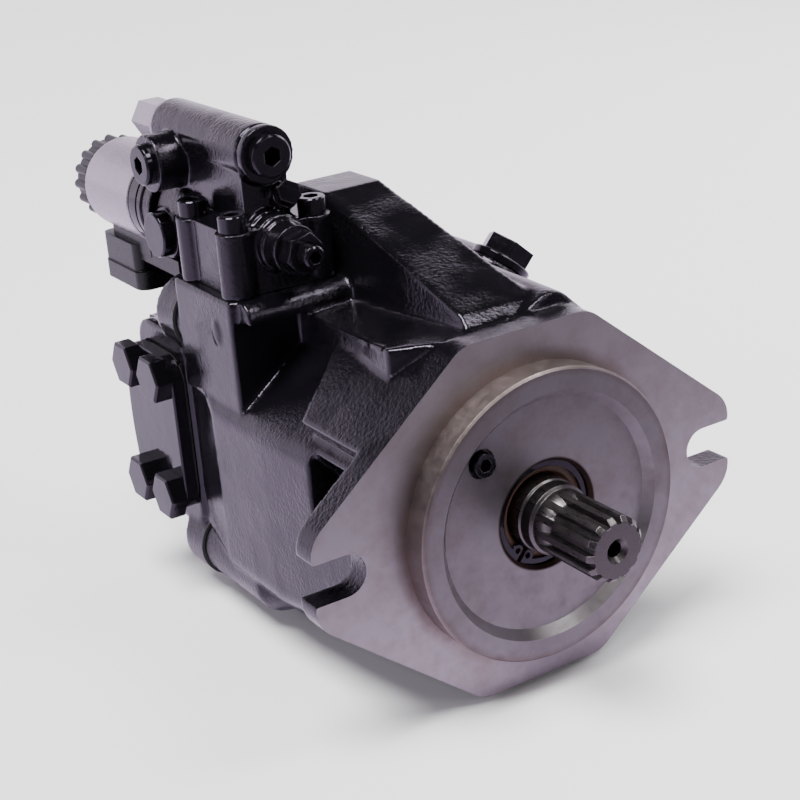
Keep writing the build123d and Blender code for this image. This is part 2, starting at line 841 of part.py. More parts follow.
retainer_front = pivot_y - swash_face_gap + slipper_sole_gap + 2.6
with BuildPart() as retainer:
    tube(36.5, 10, retainer_front, retainer_front + 2.0)
    with BuildSketch(across(retainer_front - 1)):
        with PolarLocations(pitch_radius, piston_count, start_angle=90):
            Circle(8.5)
    extrude(amount=-4, mode=Mode.SUBTRACT)
    with Locations((0, pivot_y, 0)):
        Sphere(15.55, mode=Mode.SUBTRACT)
save(retainer, "slipper_retainer")

with BuildPart() as retainer_ball:
    with Locations((0, pivot_y, 0)):
        Sphere(15.5)
    block((-20, 40, -20), (20, pivot_y - 8, 20), mode=Mode.SUBTRACT)
    block((-20, pivot_y + 6, -20), (20, 90, 20), mode=Mode.SUBTRACT)
    drum(14.0, pivot_y, block_front + 3)
    drum(12.55, 40, 55.0, mode=Mode.SUBTRACT)
    drum(drive_core_radius + 0.04, 40, 100, mode=Mode.SUBTRACT)
save(retainer_ball, "retainer_ball")

spring_front = block_front + 3.1
with BuildPart() as block_spring:
    coil_wire = 1.1
    turns = 5
    with BuildLine() as coil_path:
        Helix(
            pitch=(109 - spring_front - 3 * coil_wire) / turns,
            height=109 - spring_front - 3 * coil_wire,
            radius=14.0,
            center=(0, spring_front + 1.5 * coil_wire, 0),
            direction=(0, 1, 0),
        )
    with BuildSketch(Plane(coil_path.line @ 0, z_dir=coil_path.line % 0)):
        Circle(coil_wire)
    sweep(path=coil_path.line)
save(block_spring, "block_spring")

# ================================================================ swashplate and its pistons
with BuildPart() as swashplate:
    drum(39, 47, pivot_y - swash_face_gap)
    # the two curved journals that rock in the cradle
    for side in (-1, 1):
        with BuildSketch(sideways(side * 27)):
            with Locations((pivot_y, 0)):
                Circle(cradle_radius)
        extrude(amount=side * 10)
    block((-45, 47.1, -45), (-26, 110, 45), mode=Mode.SUBTRACT)
    block((26, 47.1, -45), (45, 110, 45), mode=Mode.SUBTRACT)
    drum(39, 47, pivot_y - swash_face_gap)
    block((-45, 20, 18), (45, 47, 45), mode=Mode.SUBTRACT)
    block((-45, 20, -45), (45, 47, -18), mode=Mode.SUBTRACT)
    # the upper arm and the lower lug that the two small pistons push on
    block((-6, 47, 30), (6, pivot_y - swash_face_gap, 63))
    block((-6, 47, -53), (6, pivot_y - swash_face_gap, -30))
    # the shaft passes through a slot that is tall enough for the tilt
    with BuildSketch(across(20)):
        SlotOverall(50, 28, rotation=90)
    extrude(amount=-60, mode=Mode.SUBTRACT)
save(swashplate, "swashplate")

with BuildPart() as cradle_bearings:
    for side in (-1, 1):
        with BuildSketch(sideways(side * 27.5)):
            with Locations((pivot_y, 0)):
                Circle(cradle_radius + cradle_shell)
                Circle(cradle_radius + 0.05, mode=Mode.SUBTRACT)
        extrude(amount=side * 11)
    block((-45, 38, -60), (45, 110, 60), mode=Mode.SUBTRACT)
    block((-45, 20, 21.5), (45, 60, 60), mode=Mode.SUBTRACT)
    block((-45, 20, -60), (45, 60, -21.5), mode=Mode.SUBTRACT)
save(cradle_bearings, "cradle_bearings")

nose_gap = 0.3
with BuildPart() as control_piston:
    nose_middle = pivot_y - swash_face_gap + nose_gap + swash_face_gap
    with Locations((0, nose_middle, control_z)):
        Sphere(swash_face_gap)
    drum(control_radius, nose_middle + 2.5, 92, 0, control_z)
    drum(5.0, 74, 93, 0, control_z, mode=Mode.SUBTRACT)
save(control_piston, "control_piston")

bias_nose = 5.0
with BuildPart() as bias_piston:
    bias_middle = pivot_y - swash_face_gap + nose_gap + bias_nose
    with Locations((0, bias_middle, bias_z)):
        Sphere(bias_nose)
    drum(bias_nose, bias_middle, 66, 0, bias_z)
    drum(bias_radius, 66, 78, 0, bias_z)
    drum(3.6, 78, 90, 0, bias_z)
save(bias_piston, "bias_piston")


def coil_spring(wire, radius, y0, y1, x, z, turns):
    """An open coil spring along Y, clear of both its seats."""
    height = y1 - y0 - 2 * wire
    with BuildPart() as spring:
        with BuildLine() as path:
            Helix(height / turns, height, radius, center=(x, y0 + wire, z), direction=(0, 1, 0))
        with BuildSketch(Plane(path.line @ 0, z_dir=path.line % 0)):
            Circle(wire)
        sweep(path=path.line)
    return spring


bias_spring = coil_spring(0.9, 5.6, 78.3, 111.5, 0, bias_z, 8)
save(bias_spring, "bias_spring")


# ================================================================ control valve
valve_screw_places = [
    (valve_x - valve_screw_x, valve_screw_y_front),
    (valve_x + valve_screw_x, valve_screw_y_front),
    (valve_x - valve_screw_x, valve_screw_y_rear),
    (valve_x + valve_screw_x, valve_screw_y_rear),
]
upper_plug_y = 146.0
upper_plug_z = 103.0
lower_plug_y = 149.0
lower_plug_z = 75.7
lower_plug_seat_x = valve_x - 15.3
tilted_plug_place = Vector(-31.6, 92.2, 96)
tilted_plug_axis = Vector(0, -0.866, 0.5)

with BuildPart() as valve_body:
    # base on the pad, with a column under every screw
    block(
        (valve_x - valve_half_width, valve_front, ledge_height),
        (valve_x + valve_half_width, valve_screw_y_rear + 3, valve_base_top),
    )
    for x, y in valve_screw_places:
        with BuildSketch(Plane.XY.offset(ledge_height)):
            with Locations((x, y)):
                Circle(valve_column_radius)
        extrude(amount=valve_base_top - ledge_height)
    # the lower bore runs back to the coil, the upper bore lies above it
    drum(11.5, valve_screw_y_front, valve_screw_y_rear + 8, valve_x, spool_z)
    drum(15.0, valve_screw_y_rear + 5.5, lower_rear - 9, valve_x, spool_z)
    drum(17.0, lower_rear - 6.5, lower_rear, valve_x, spool_z)
    drum(upper_cylinder_radius, upper_front, upper_rear, valve_x, upper_bore_z)
    block((valve_x - 8.8, upper_front + 4, 80), (valve_x + 8.8, 150, upper_bore_z))
    # front face rib round the adjuster, and the adjuster collar
    drum(10.5, valve_front - 0.01, 100, valve_x, spool_z)
    drum(9.5, 86, valve_front, valve_x, spool_z)
    drum(8.6, 78, 86, valve_x, spool_z)
    # side bosses for the two cross plugs
    with BuildSketch(sideways(valve_x - 20.3)):
        with Locations((upper_plug_y, upper_plug_z)):
            Circle(10.5)
    extrude(amount=16)
    with BuildSketch(sideways(lower_plug_seat_x)):
        with Locations((lower_plug_y, lower_plug_z)):
            Circle(9.6)
    extrude(amount=9)
    # seat of the small tilted plug
    with BuildSketch(Plane(origin=tilted_plug_place - tilted_plug_axis * 12, z_dir=tilted_plug_axis)):
        Circle(4.8)
    extrude(amount=12)
    block((-70, 70, 40), (0, 170, ledge_height), mode=Mode.SUBTRACT)
    # ring grooves at the front of the upper bore
    tube(upper_cylinder_radius + 1, upper_cylinder_radius - 1.0, upper_front + 3.4, upper_front + 4.6,
         valve_x, upper_bore_z, mode=Mode.SUBTRACT)
    # spool bore, spring pocket and coil socket
    drum(5.05, 103.9, lower_rear + 1, valve_x, spool_z, mode=Mode.SUBTRACT)
    drum(6.0, 90, 104, valve_x, spool_z, mode=Mode.SUBTRACT)
    drum(4.1, 77, 91, valve_x, spool_z, mode=Mode.SUBTRACT)
    # upper bore with a socket at each end
    drum(4.55, upper_front - 1, 154, valve_x, upper_bore_z, mode=Mode.SUBTRACT)
    drum(6.5, upper_front - 1, 100, valve_x, upper_bore_z, mode=Mode.SUBTRACT)
    drum(6.5, 150, upper_rear + 1, valve_x, upper_bore_z, mode=Mode.SUBTRACT)
    # cross bores behind the side plugs
    with BuildSketch(sideways(valve_x - 21)):
        with Locations((upper_plug_y, upper_plug_z)):
            Circle(6.0)
    extrude(amount=12, mode=Mode.SUBTRACT)
    with BuildSketch(sideways(lower_plug_seat_x - 1)):
        with Locations((lower_plug_y, lower_plug_z)):
            Circle(6.6)
    extrude(amount=9, mode=Mode.SUBTRACT)
    with BuildSketch(Plane(origin=tilted_plug_place, z_dir=tilted_plug_axis)):
        Circle(3.0)
    extrude(amount=-8, mode=Mode.SUBTRACT)
    # clearance holes of the four screws
    for x, y in valve_screw_places:
        with Locations((x, y, (ledge_height + valve_base_top) / 2)):
            Cylinder(3.3, valve_base_top - ledge_height + 2, mode=Mode.SUBTRACT)
save(valve_body, "valve_body")

with BuildPart() as valve_screws:
    for x, y in valve_screw_places:
        with BuildSketch(Plane.XY.offset(ledge_height - 12)):
            with Locations((x, y)):
                Circle(2.97)
        extrude(amount=valve_base_top - ledge_height + 12)
        with BuildSketch(Plane.XY.offset(valve_base_top)):
            with Locations((x, y)):
                Circle(5.0)
        extrude(amount=6)
    chamfer(valve_screws.faces().filter_by(Plane.XY).sort_by(Axis.Z)[-4:].edges(), 0.5)
    for x, y in valve_screw_places:
        with BuildSketch(Plane.XY.offset(valve_base_top + 3)):
            with Locations((x, y)):
                RegularPolygon(2.5, 6, major_radius=False)
        extrude(amount=4, mode=Mode.SUBTRACT)
save(valve_screws, "valve_screws")


def socket_plug(face, outward):
    """A threaded plug with a low rim and a hexagon socket, seated on a face."""
    with BuildSketch(Plane(origin=face, z_dir=outward)) as head_disc:
        Circle(7.5)
    head = extrude(head_disc.sketch, amount=3.6)
    rim = head.faces().sort_by(Axis(face, outward))[-1]
    chamfer(rim.edges(), 0.7)
    with BuildSketch(Plane(origin=face, z_dir=outward)) as shank_disc:
        Circle(5.9)
    extrude(shank_disc.sketch, amount=-7)
    with BuildSketch(Plane(origin=face + outward * 4, z_dir=outward)) as socket:
        RegularPolygon(3.0, 6, major_radius=False)
    extrude(socket.sketch, amount=-7, mode=Mode.SUBTRACT)


with BuildPart() as valve_plugs:
    socket_plug(Vector(valve_x, upper_front, upper_bore_z), Vector(0, -1, 0))
    socket_plug(Vector(valve_x - 20.3, upper_plug_y, upper_plug_z), Vector(-1, 0, 0))
    with BuildSketch(Plane(origin=tilted_plug_place, z_dir=tilted_plug_axis)):
        RegularPolygon(4.0, 6, major_radius=False)
    extrude(amount=3.4)
    with BuildSketch(Plane(origin=tilted_plug_place, z_dir=tilted_plug_axis)):
        Circle(2.95)
    extrude(amount=-7)
save(valve_plugs, "valve_plugs")

with BuildPart() as cross_plug:
    with BuildSketch(sideways(lower_plug_seat_x)):
        with Locations((lower_plug_y, lower_plug_z)):
            Circle(6.5)
    extrude(amount=7)
    with BuildSketch(sideways(lower_plug_seat_x)):
        with Locations((lower_plug_y, lower_plug_z)):
            Circle(8.5)
    extrude(amount=-5)
    chamfer(cross_plug.faces().sort_by(Axis.X)[0].edges(), 0.6)
save(cross_plug, "cross_bore_plug")

cap_flats = 14.0
with BuildPart() as end_cap:
    drum(6.45, upper_rear - 12, upper_rear, valve_x, upper_bore_z)
    drum(9.2, upper_rear, upper_rear + 3.0, valve_x, upper_bore_z)
    hex_bar(cap_flats, upper_rear + 3.0, upper_rear + 21.5, valve_x, upper_bore_z)
    drum(5.4, upper_rear + 21.5, upper_rear + 24.5, valve_x, upper_bore_z)
    drum(5.0, upper_rear - 13, upper_rear + 1, valve_x, upper_bore_z, mode=Mode.SUBTRACT)
save(end_cap, "spool_end_cap")

with BuildPart() as adjusting_screw:
    drum(3.95, 65.0, 91.0, valve_x, spool_z)
    chamfer(adjusting_screw.faces().sort_by(Axis.Y)[0].edges(), 0.7)
    hex_bar(4.0, 64, 69, valve_x, spool_z, mode=Mode.SUBTRACT)
save(adjusting_screw, "adjusting_screw")

with BuildPart() as lock_nut:
    hex_bar(13.0, 71.0, 77.9, valve_x, spool_z, turn=12)
    hex_crown(13.0, 71.0, 77.9, valve_x, spool_z)
    drum(4.0, 70, 79, valve_x, spool_z, mode=Mode.SUBTRACT)
save(lock_nut, "adjuster_lock_nut")

with BuildPart() as spool:
    # two lands, a waist, the push pin and the armature inside the coil
    drum(5.0, 104.2, 118, valve_x, spool_z)
    drum(3.2, 118, 134, valve_x, spool_z)
    drum(5.0, 134, 150, valve_x, spool_z)
    drum(2.0, 150, 173, valve_x, spool_z)
    drum(8.0, 173, 196, valve_x, spool_z)
save(spool, "control_spool")

spool_spring = coil_spring(0.7, 4.9, 92.3, 103.6, valve_x, spool_z, 4)
save(spool_spring, "spool_spring")

with BuildPart() as pressure_spool:
    drum(4.5, 104, 122, valve_x, upper_bore_z)
    drum(2.8, 122, 134, valve_x, upper_bore_z)
    drum(4.5, 134, 149.4, valve_x, upper_bore_z)
save(pressure_spool, "pressure_spool")

pressure_spring = coil_spring(0.7, 3.6, 150.4, 162.6, valve_x, upper_bore_z, 5)
save(pressure_spring, "pressure_spring")

# ================================================================ coil and connector
with BuildPart() as coil_ring:
    drum(coil_radius - 0.5, lower_rear, coil_front, valve_x, spool_z)
    chamfer(coil_ring.edges().filter_by(GeomType.CIRCLE), 0.6)
    groove_y = lower_rear + 3.2
    tube(coil_radius + 1, coil_radius - 1.5, groove_y, groove_y + 1.2, valve_x, spool_z, mode=Mode.SUBTRACT)
    drum(8.3, lower_rear - 1, coil_front + 1, valve_x, spool_z, mode=Mode.SUBTRACT)
save(coil_ring, "solenoid_ring")

with BuildPart() as coil_can:
    drum(coil_radius, coil_front, coil_rear, valve_x, spool_z)
    rims = coil_can.edges().filter_by(GeomType.CIRCLE).sort_by(Axis.Y)
    fillet(rims[-1], 2.5)
    chamfer(rims[0], 0.5)
    drum(8.3, coil_front - 1, 202, valve_x, spool_z, mode=Mode.SUBTRACT)
    # the threaded stub that carries the nut
    drum(7.0, coil_rear - 2, coil_rear + 9, valve_x, spool_z)
save(coil_can, "solenoid_can")

nut_front = coil_rear + 0.05
nut_rear = 229.0
nut_lobes = 16
with BuildPart() as coil_nut:
    drum(15.6, nut_front, nut_rear, valve_x, spool_z)
    fillet(coil_nut.faces().sort_by(Axis.Y)[-1].edges(), 1.2)
    with BuildSketch(across(nut_front + 0.5)):
        with Locations((valve_x, spool_z)):
            with PolarLocations(15.2, nut_lobes):
                Circle(1.9)
    extrude(amount=-(nut_rear - nut_front - 1.5))
    drum(7.05, nut_front - 1, coil_rear + 10, valve_x, spool_z, mode=Mode.SUBTRACT)
save(coil_nut, "coil_nut")

with BuildPart() as connector:
    # the shell, its lower lip, and the neck that runs forward under the ring
    with BuildSketch(Plane.XY.offset(44)):
        with Locations((valve_x, 206)):
            RectangleRounded(2 * connector_half_width, 32, 4)
    extrude(amount=17)
    with BuildSketch(Plane.XY.offset(43)):
        with Locations((valve_x, 204.5)):
            RectangleRounded(2 * connector_half_width + 1.5, 35, 5)
    extrude(amount=7)
    block((valve_x - 8.8, 156, 55), (valve_x + 9.2, 192, 61.5))
    # the saddle that joins it to the underside of the can
    block((valve_x - 9, 180, 58), (valve_x + 9, 214, 66))
    drum(coil_radius + 0.02, 150, coil_rear + 8, valve_x, spool_z, mode=Mode.SUBTRACT)
save(connector, "connector")
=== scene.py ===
import json
import math

import bmesh
import bpy
import numpy as np
from mathutils import Matrix, Vector


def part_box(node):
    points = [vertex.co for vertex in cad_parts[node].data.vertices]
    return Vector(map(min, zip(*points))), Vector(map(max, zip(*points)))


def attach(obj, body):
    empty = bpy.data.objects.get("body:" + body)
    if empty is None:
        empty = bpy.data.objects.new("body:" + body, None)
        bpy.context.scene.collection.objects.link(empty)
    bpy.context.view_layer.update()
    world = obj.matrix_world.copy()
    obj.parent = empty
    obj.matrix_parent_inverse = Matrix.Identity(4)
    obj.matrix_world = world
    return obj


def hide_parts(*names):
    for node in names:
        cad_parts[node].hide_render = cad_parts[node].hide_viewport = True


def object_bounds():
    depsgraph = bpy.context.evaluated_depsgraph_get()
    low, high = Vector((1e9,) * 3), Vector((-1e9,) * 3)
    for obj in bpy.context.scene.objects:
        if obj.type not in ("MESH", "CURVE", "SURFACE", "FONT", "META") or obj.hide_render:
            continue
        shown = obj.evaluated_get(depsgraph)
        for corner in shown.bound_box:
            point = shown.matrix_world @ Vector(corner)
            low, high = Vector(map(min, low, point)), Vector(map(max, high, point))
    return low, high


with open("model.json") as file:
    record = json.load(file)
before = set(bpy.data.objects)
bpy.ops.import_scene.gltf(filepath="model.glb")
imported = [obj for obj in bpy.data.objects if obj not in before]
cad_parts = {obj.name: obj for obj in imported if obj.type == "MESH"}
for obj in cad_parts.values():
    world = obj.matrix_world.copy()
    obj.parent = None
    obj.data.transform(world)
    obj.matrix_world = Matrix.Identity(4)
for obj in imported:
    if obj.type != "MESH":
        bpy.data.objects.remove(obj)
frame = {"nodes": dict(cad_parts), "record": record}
cad_low, cad_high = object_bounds()
nodes = frame["nodes"]
MM = 0.001

# the camera: where it stands, its lens, and how it is turned
camera_place = (-0.30306, -0.41850, 0.24544)
camera_azimuth = -31.29
camera_elevation = 21.56
camera_roll = -4.655
lens_length = 77.79

# the machined front of the housing
pilot_radius = 50.8 * MM
recess_depth = 6.1 * MM
mouth_half_width = 19 * MM
flat_tolerance = 1e-5

# the castings: metal left on a face until it is cut flat, and rounds of softening
flange_stock = 8 * MM
joint_stock = 6 * MM
house_rounds = 5
valve_rounds = 3
bare_index = 1

# the floor, as the camera sees it and as reflections see it behind and ahead of the pump
floor_reach = 6.0
floor_colour = (0.95, 0.95, 0.95)
floor_reflected = (0.66, 0.57, 0.73)
floor_reflected_ahead = (0.08, 0.07, 0.085)
floor_fade_per_metre = 4.0

# the room round the pump, which only reflections and fill light see
room_tint = (1.0, 0.88, 1.06, 1.0)
room_strength = 1.9


# ------------------------------------------------------------------ node helpers
class Surface:
    """A material with a Principled shader, and short calls for the nodes that feed it."""

    def __init__(self, name, colour, roughness, metallic=0.0):
        self.material = bpy.data.materials.new(name)
        self.material.use_nodes = True
        self.tree = self.material.node_tree
        self.shader = self.tree.nodes["Principled BSDF"]
        self.set("Base Color", (*colour, 1))
        self.set("Roughness", roughness)
        self.set("Metallic", metallic)
        self.place = self.node("ShaderNodeTexCoord").outputs["Object"]

    def set(self, socket, value):
        self.shader.inputs[socket].default_value = value

    def node(self, kind, **settings):
        made = self.tree.nodes.new(kind)
        for key, value in settings.items():
            setattr(made, key, value)
        return made

    def link(self, source, target):
        self.tree.links.new(source, target)
        return source

    def noise(self, size, detail=3.0, roughness=0.55, place=None, stretch=None):
        """Noise whose features are about `size` metres across."""
        source = place or self.place
        if stretch:
            squeeze = self.node("ShaderNodeMapping")
            squeeze.inputs["Scale"].default_value = stretch
            self.link(source, squeeze.inputs["Vector"])
            source = squeeze.outputs["Vector"]
        made = self.node("ShaderNodeTexNoise")
        made.inputs["Scale"].default_value = 1 / size
        made.inputs["Detail"].default_value = detail
        made.inputs["Roughness"].default_value = roughness
        self.link(source, made.inputs["Vector"])
        return made.outputs["Fac"]

    def ramp(self, source, stops):
        """Maps a 0 to 1 value through (position, value or colour) stops."""
        made = self.node("ShaderNodeValToRGB")
        band = made.color_ramp
        while len(band.elements) < len(stops):
            band.elements.new(0.5)
        for element, (position, value) in zip(band.elements, stops):
            element.position = position
            colour = value if isinstance(value, tuple) else (value, value, value)
            element.color = (*colour, 1)
        self.link(source, made.inputs["Fac"])
        return made.outputs["Color"]

    def math(self, operation, a, b=0.5, clamp=False):
        made = self.node("ShaderNodeMath", operation=operation, use_clamp=clamp)
        for socket, value in zip(made.inputs, (a, b)):
            if isinstance(value, (int, float)):
                socket.default_value = value
            else:
                self.link(value, socket)
        return made.outputs["Value"]

    def mix(self, share, a, b):
        made = self.node("ShaderNodeMix", data_type="RGBA")
        self.link(share, made.inputs["Factor"])
        for socket, value in ((made.inputs["A"], a), (made.inputs["B"], b)):
            if isinstance(value, tuple):
                socket.default_value = (*value, 1)
            else:
                self.link(value, socket)
        return made.outputs["Result"]

    def relief(self, *layers, edge=0.0):
        """Stacks (height, depth in metres) bumps, over rounded shading of sharp edges."""
        normal = None
        if edge:
            rounded = self.node("ShaderNodeBevel", samples=6)
            rounded.inputs["Radius"].default_value = edge
            normal = rounded.outputs["Normal"]
        for height, depth in layers:
            bump = self.node("ShaderNodeBump")
            bump.inputs["Strength"].default_value = 1.0
            bump.inputs["Distance"].default_value = depth
            self.link(height, bump.inputs["Height"])
            if normal:
                self.link(normal, bump.inputs["Normal"])
            normal = bump.outputs["Normal"]
        self.link(normal, self.shader.inputs["Normal"])

    def feed(self, socket, source):
        self.link(source, self.shader.inputs[socket])


def gloss_paint(name, grain, grain_depth, edge=0.0):
    """Thick black gloss enamel over a casting or a screw; the grain shows through it."""
    paint = Surface(name, (0.006, 0.0055, 0.007), 0.25)
    paint.set("Specular IOR Level", 0.38)
    paint.set("Specular Tint", (0.90, 0.78, 1.0, 1))
    cloud = paint.noise(18 * MM, 2)
    paint.feed("Base Color", paint.mix(cloud, (0.002, 0.0018, 0.0025), (0.005, 0.0045, 0.006)))
    paint.feed("Roughness", paint.ramp(paint.noise(7 * MM, 3), [(0.3, 0.05), (0.7, 0.15)]))
    sand = paint.noise(grain, 3, 0.65)
    coarse = paint.ramp(paint.noise(26 * MM, 2), [(0.4, 0.25), (0.6, 1.0)])
    patchy = paint.math("MULTIPLY", sand, coarse)
    swell = paint.noise(9 * MM, 2)
    paint.relief((swell, 0.12 * MM), (patchy, grain_depth), edge=edge)
    return paint


cast_paint = gloss_paint("cast_black_paint", 1.4 * MM, 0.3 * MM)
screw_paint = gloss_paint("painted_fastener", 3.0 * MM, 0.04 * MM, edge=0.5 * MM)


def turned_metal(name, colour, roughness, ring_depth, pilot_radius, bore_radius):
    """Bare metal faced on a lathe: fine rings about the shaft axis, with old brown stains.

    The stains gather round the foot of the pilot, and the seal bore is red brown.
    """
    metal = Surface(name, colour, roughness, metallic=1.0)
    split = metal.node("ShaderNodeSeparateXYZ")
    metal.link(metal.place, split.inputs["Vector"])
    square_x = metal.math("MULTIPLY", split.outputs["X"], split.outputs["X"])
    square_z = metal.math("MULTIPLY", split.outputs["Z"], split.outputs["Z"])
    radius = metal.math("SQRT", metal.math("ADD", square_x, square_z))
    along = metal.node("ShaderNodeCombineXYZ")
    metal.link(radius, along.inputs["X"])
    rings = metal.noise(0.5 * MM, 2, 0.7, place=along.outputs["Vector"])
    blotch = metal.noise(16 * MM, 4, 0.6)
    # a ramp runs from 0 to 1, which is 0 to 100 mm of radius
    per_metre = 10.0
    reach = metal.math("MULTIPLY", radius, per_metre, clamp=True)
    foot = pilot_radius * per_metre
    stain_ring = [(foot - 0.03, 0.0), (foot - 0.002, 0.45), (foot + 0.006, 0.5), (foot + 0.05, 0.0)]
    near_pilot = metal.ramp(reach, stain_ring)
    stain = metal.ramp(metal.math("ADD", blotch, near_pilot), [(0.42, 0.0), (0.95, 1.0)])
    brown = tuple(c * f for c, f in zip(colour, (0.74, 0.66, 0.60)))
    stained = metal.mix(stain, colour, brown)
    on_pilot = metal.ramp(reach, [(foot - 0.004, 1.0), (foot, 0.0)])
    duller = 0.62
    dull = metal.mix(stain, tuple(c * duller for c in colour), tuple(c * duller for c in brown))
    face = metal.mix(on_pilot, stained, dull)
    mouth = bore_radius * per_metre
    outside = metal.ramp(reach, [(mouth, 0.0), (mouth + 0.002, 1.0)])
    metal.feed("Base Color", metal.mix(outside, (0.045, 0.026, 0.022), face))
    worn = metal.ramp(metal.noise(4 * MM, 5, 0.7), [(0.3, roughness - 0.08), (0.7, roughness + 0.1)])
    metal.feed("Roughness", metal.mix(outside, (0.65, 0.65, 0.65), worn))
    grit = metal.noise(0.9 * MM, 3, 0.6)
    metal.relief((rings, ring_depth), (grit, 0.03 * MM))
    return metal


seal_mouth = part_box("shaft_seal")[1].x + 1.3 * MM
flange_colour = (0.33, 0.305, 0.322)
flange_metal = turned_metal("machined_iron", flange_colour, 0.42, 0.012 * MM, pilot_radius, seal_mouth)


def plain_metal(name, colour, roughness, grain, depth, stretch=None, edge=0.3 * MM):
    """Bare or plated steel with a fine grain, and sharp edges slightly broken."""
    metal = Surface(name, colour, roughness, metallic=1.0)
    fine = metal.noise(grain, 3, 0.6, stretch=stretch)
    metal.feed("Roughness", metal.ramp(fine, [(0.3, roughness - 0.07), (0.7, roughness + 0.08)]))
    cloud = metal.noise(12 * MM, 3)
    dark = tuple(c * 0.82 for c in colour)
    metal.feed("Base Color", metal.mix(cloud, dark, colour))
    metal.relief((fine, depth), edge=edge)
    return metal


shaft_metal = plain_metal("shaft_steel", (0.13, 0.117, 0.122), 0.32, 0.6 * MM, 0.02 * MM, (1, 0.15, 1))
inner_metal = plain_metal("inner_steel", (0.55, 0.55, 0.56), 0.3, 0.8 * MM, 0.01 * MM)
zinc_metal = plain_metal("zinc_silver", (0.40, 0.375, 0.41), 0.28, 0.7 * MM, 0.015 * MM)
can_metal = plain_metal("can_silver", (0.40, 0.37, 0.41), 0.3, 0.5 * MM, 0.003 * MM, (1, 0.1, 1))
bronze_metal = plain_metal("bronze", (0.60, 0.42, 0.20), 0.35, 0.8 * MM, 0.01 * MM)
block_metal = plain_metal("block_iron", (0.30, 0.29, 0.28), 0.42, 0.8 * MM, 0.02 * MM)
spring_metal = plain_metal("spring_steel", (0.26, 0.26, 0.27), 0.35, 0.8 * MM, 0.01 * MM)


def moulded(name, colour, roughness, grain, depth, edge=0.4 * MM):
    """Rubber or moulded plastic with a fine even grain."""
    plastic = Surface(name, colour, roughness)
    plastic.set("Specular IOR Level", 0.25)
    fine = plastic.noise(grain, 2)
    pale = tuple(c * 1.5 for c in colour)
    plastic.feed("Base Color", plastic.mix(plastic.noise(10 * MM, 3), colour, pale))
    plastic.feed("Roughness", plastic.ramp(fine, [(0.3, roughness - 0.06), (0.7, roughness + 0.08)]))
    plastic.relief((fine, depth), edge=edge)
    return plastic


black_plastic = moulded("black_plastic", (0.004, 0.004, 0.005), 0.3, 0.6 * MM, 0.01 * MM)
seal_rubber = moulded("seal_rubber", (0.05, 0.022, 0.015), 0.5, 1.0 * MM, 0.03 * MM)
gasket_sheet = moulded("gasket_sheet", (0.02, 0.02, 0.02), 0.6, 1.0 * MM, 0.02 * MM)


# ------------------------------------------------------------------ castings
def coordinates(mesh):
    flat = np.empty(len(mesh.vertices) * 3, np.float32)
    mesh.vertices.foreach_get("co", flat)
    return flat.reshape(-1, 3)


def cast_copy(node, name, voxel, rounds, stock):
    """A copy of a casting with the soft corners of a sand mould.

    stock lists (y, y with stock) for faces that are machined flat afterwards, so that
    their edges come out crisp.
    """
    mesh = nodes[node].data.copy()
    mesh.materials.clear()
    places = coordinates(mesh)
    for face_y, stock_y in stock:
        if stock_y < face_y:
            places[places[:, 1] <= face_y + flat_tolerance, 1] = stock_y
        else:
            places[places[:, 1] >= face_y - flat_tolerance, 1] = stock_y
    mesh.vertices.foreach_set("co", places.ravel())
    piece = bpy.data.objects.new(name, mesh)
    bpy.context.scene.collection.objects.link(piece)
    even = piece.modifiers.new("even", "REMESH")
    even.mode = "VOXEL"
    even.voxel_size = voxel
    soft = piece.modifiers.new("soft", "SMOOTH")
    soft.factor = 0.5
    soft.iterations = rounds
    ready = piece.evaluated_get(bpy.context.evaluated_depsgraph_get())
    piece.data = bpy.data.meshes.new_from_object(ready)
    piece.modifiers.clear()
    piece.data.materials.clear()
    piece.data.materials.append(cast_paint.material)
    piece.data.materials.append(flange_metal.material)
    for polygon in piece.data.polygons:
        polygon.material_index = 0
        polygon.use_smooth = True
    return piece


def machine_flat(piece, y, keep_rear, material_index):
    """Cuts a casting square to the shaft at y, and closes the cut with one flat face."""
    outward = (0, -1 if keep_rear else 1, 0)
    work = bmesh.new()
    work.from_mesh(piece.data)
    cut = bmesh.ops.bisect_plane(
        work,
        geom=work.verts[:] + work.edges[:] + work.faces[:],
        plane_co=(0, y, 0),
        plane_no=outward,
        clear_outer=True,
    )
    rim = [e for e in cut["geom_cut"] if isinstance(e, bmesh.types.BMEdge)]
    lid = bmesh.ops.triangle_fill(work, edges=rim, use_beauty=True, normal=outward)
    for face in lid["geom"]:
        if isinstance(face, bmesh.types.BMFace):
            face.material_index = material_index
            face.smooth = False
            if (face.normal.y < 0) != keep_rear:
                face.normal_flip()
    for edge in rim:
        if edge.is_valid:
            edge.smooth = False
    work.to_mesh(piece.data)
    work.free()


def finish_casting(piece, node, body):
    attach(piece, body)
    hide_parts(node)


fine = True
house_voxel = 0.9 * MM if fine else 1.6 * MM
valve_voxel = 0.5 * MM if fine else 0.9 * MM

joint_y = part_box("housing")[1].y
house_stock = [(0.0, -flange_stock), (joint_y, joint_y + joint_stock)]
house = cast_copy("housing", "housing_cast", house_voxel, house_rounds, house_stock)
machine_flat(house, 0.0, True, bare_index)
machine_flat(house, joint_y, False, bare_index)
finish_casting(house, "housing", "housing_group")

plate_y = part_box("port_plate")[0].y
plate_stock = [(plate_y, plate_y - joint_stock)]
plate = cast_copy("port_plate", "port_plate_cast", house_voxel, house_rounds, plate_stock)
machine_flat(plate, plate_y, True, bare_index)
finish_casting(plate, "port_plate", "housing_group")

valve = cast_copy("valve_body", "valve_cast", valve_voxel, valve_rounds, [])
finish_casting(valve, "valve_body", "housing_group")


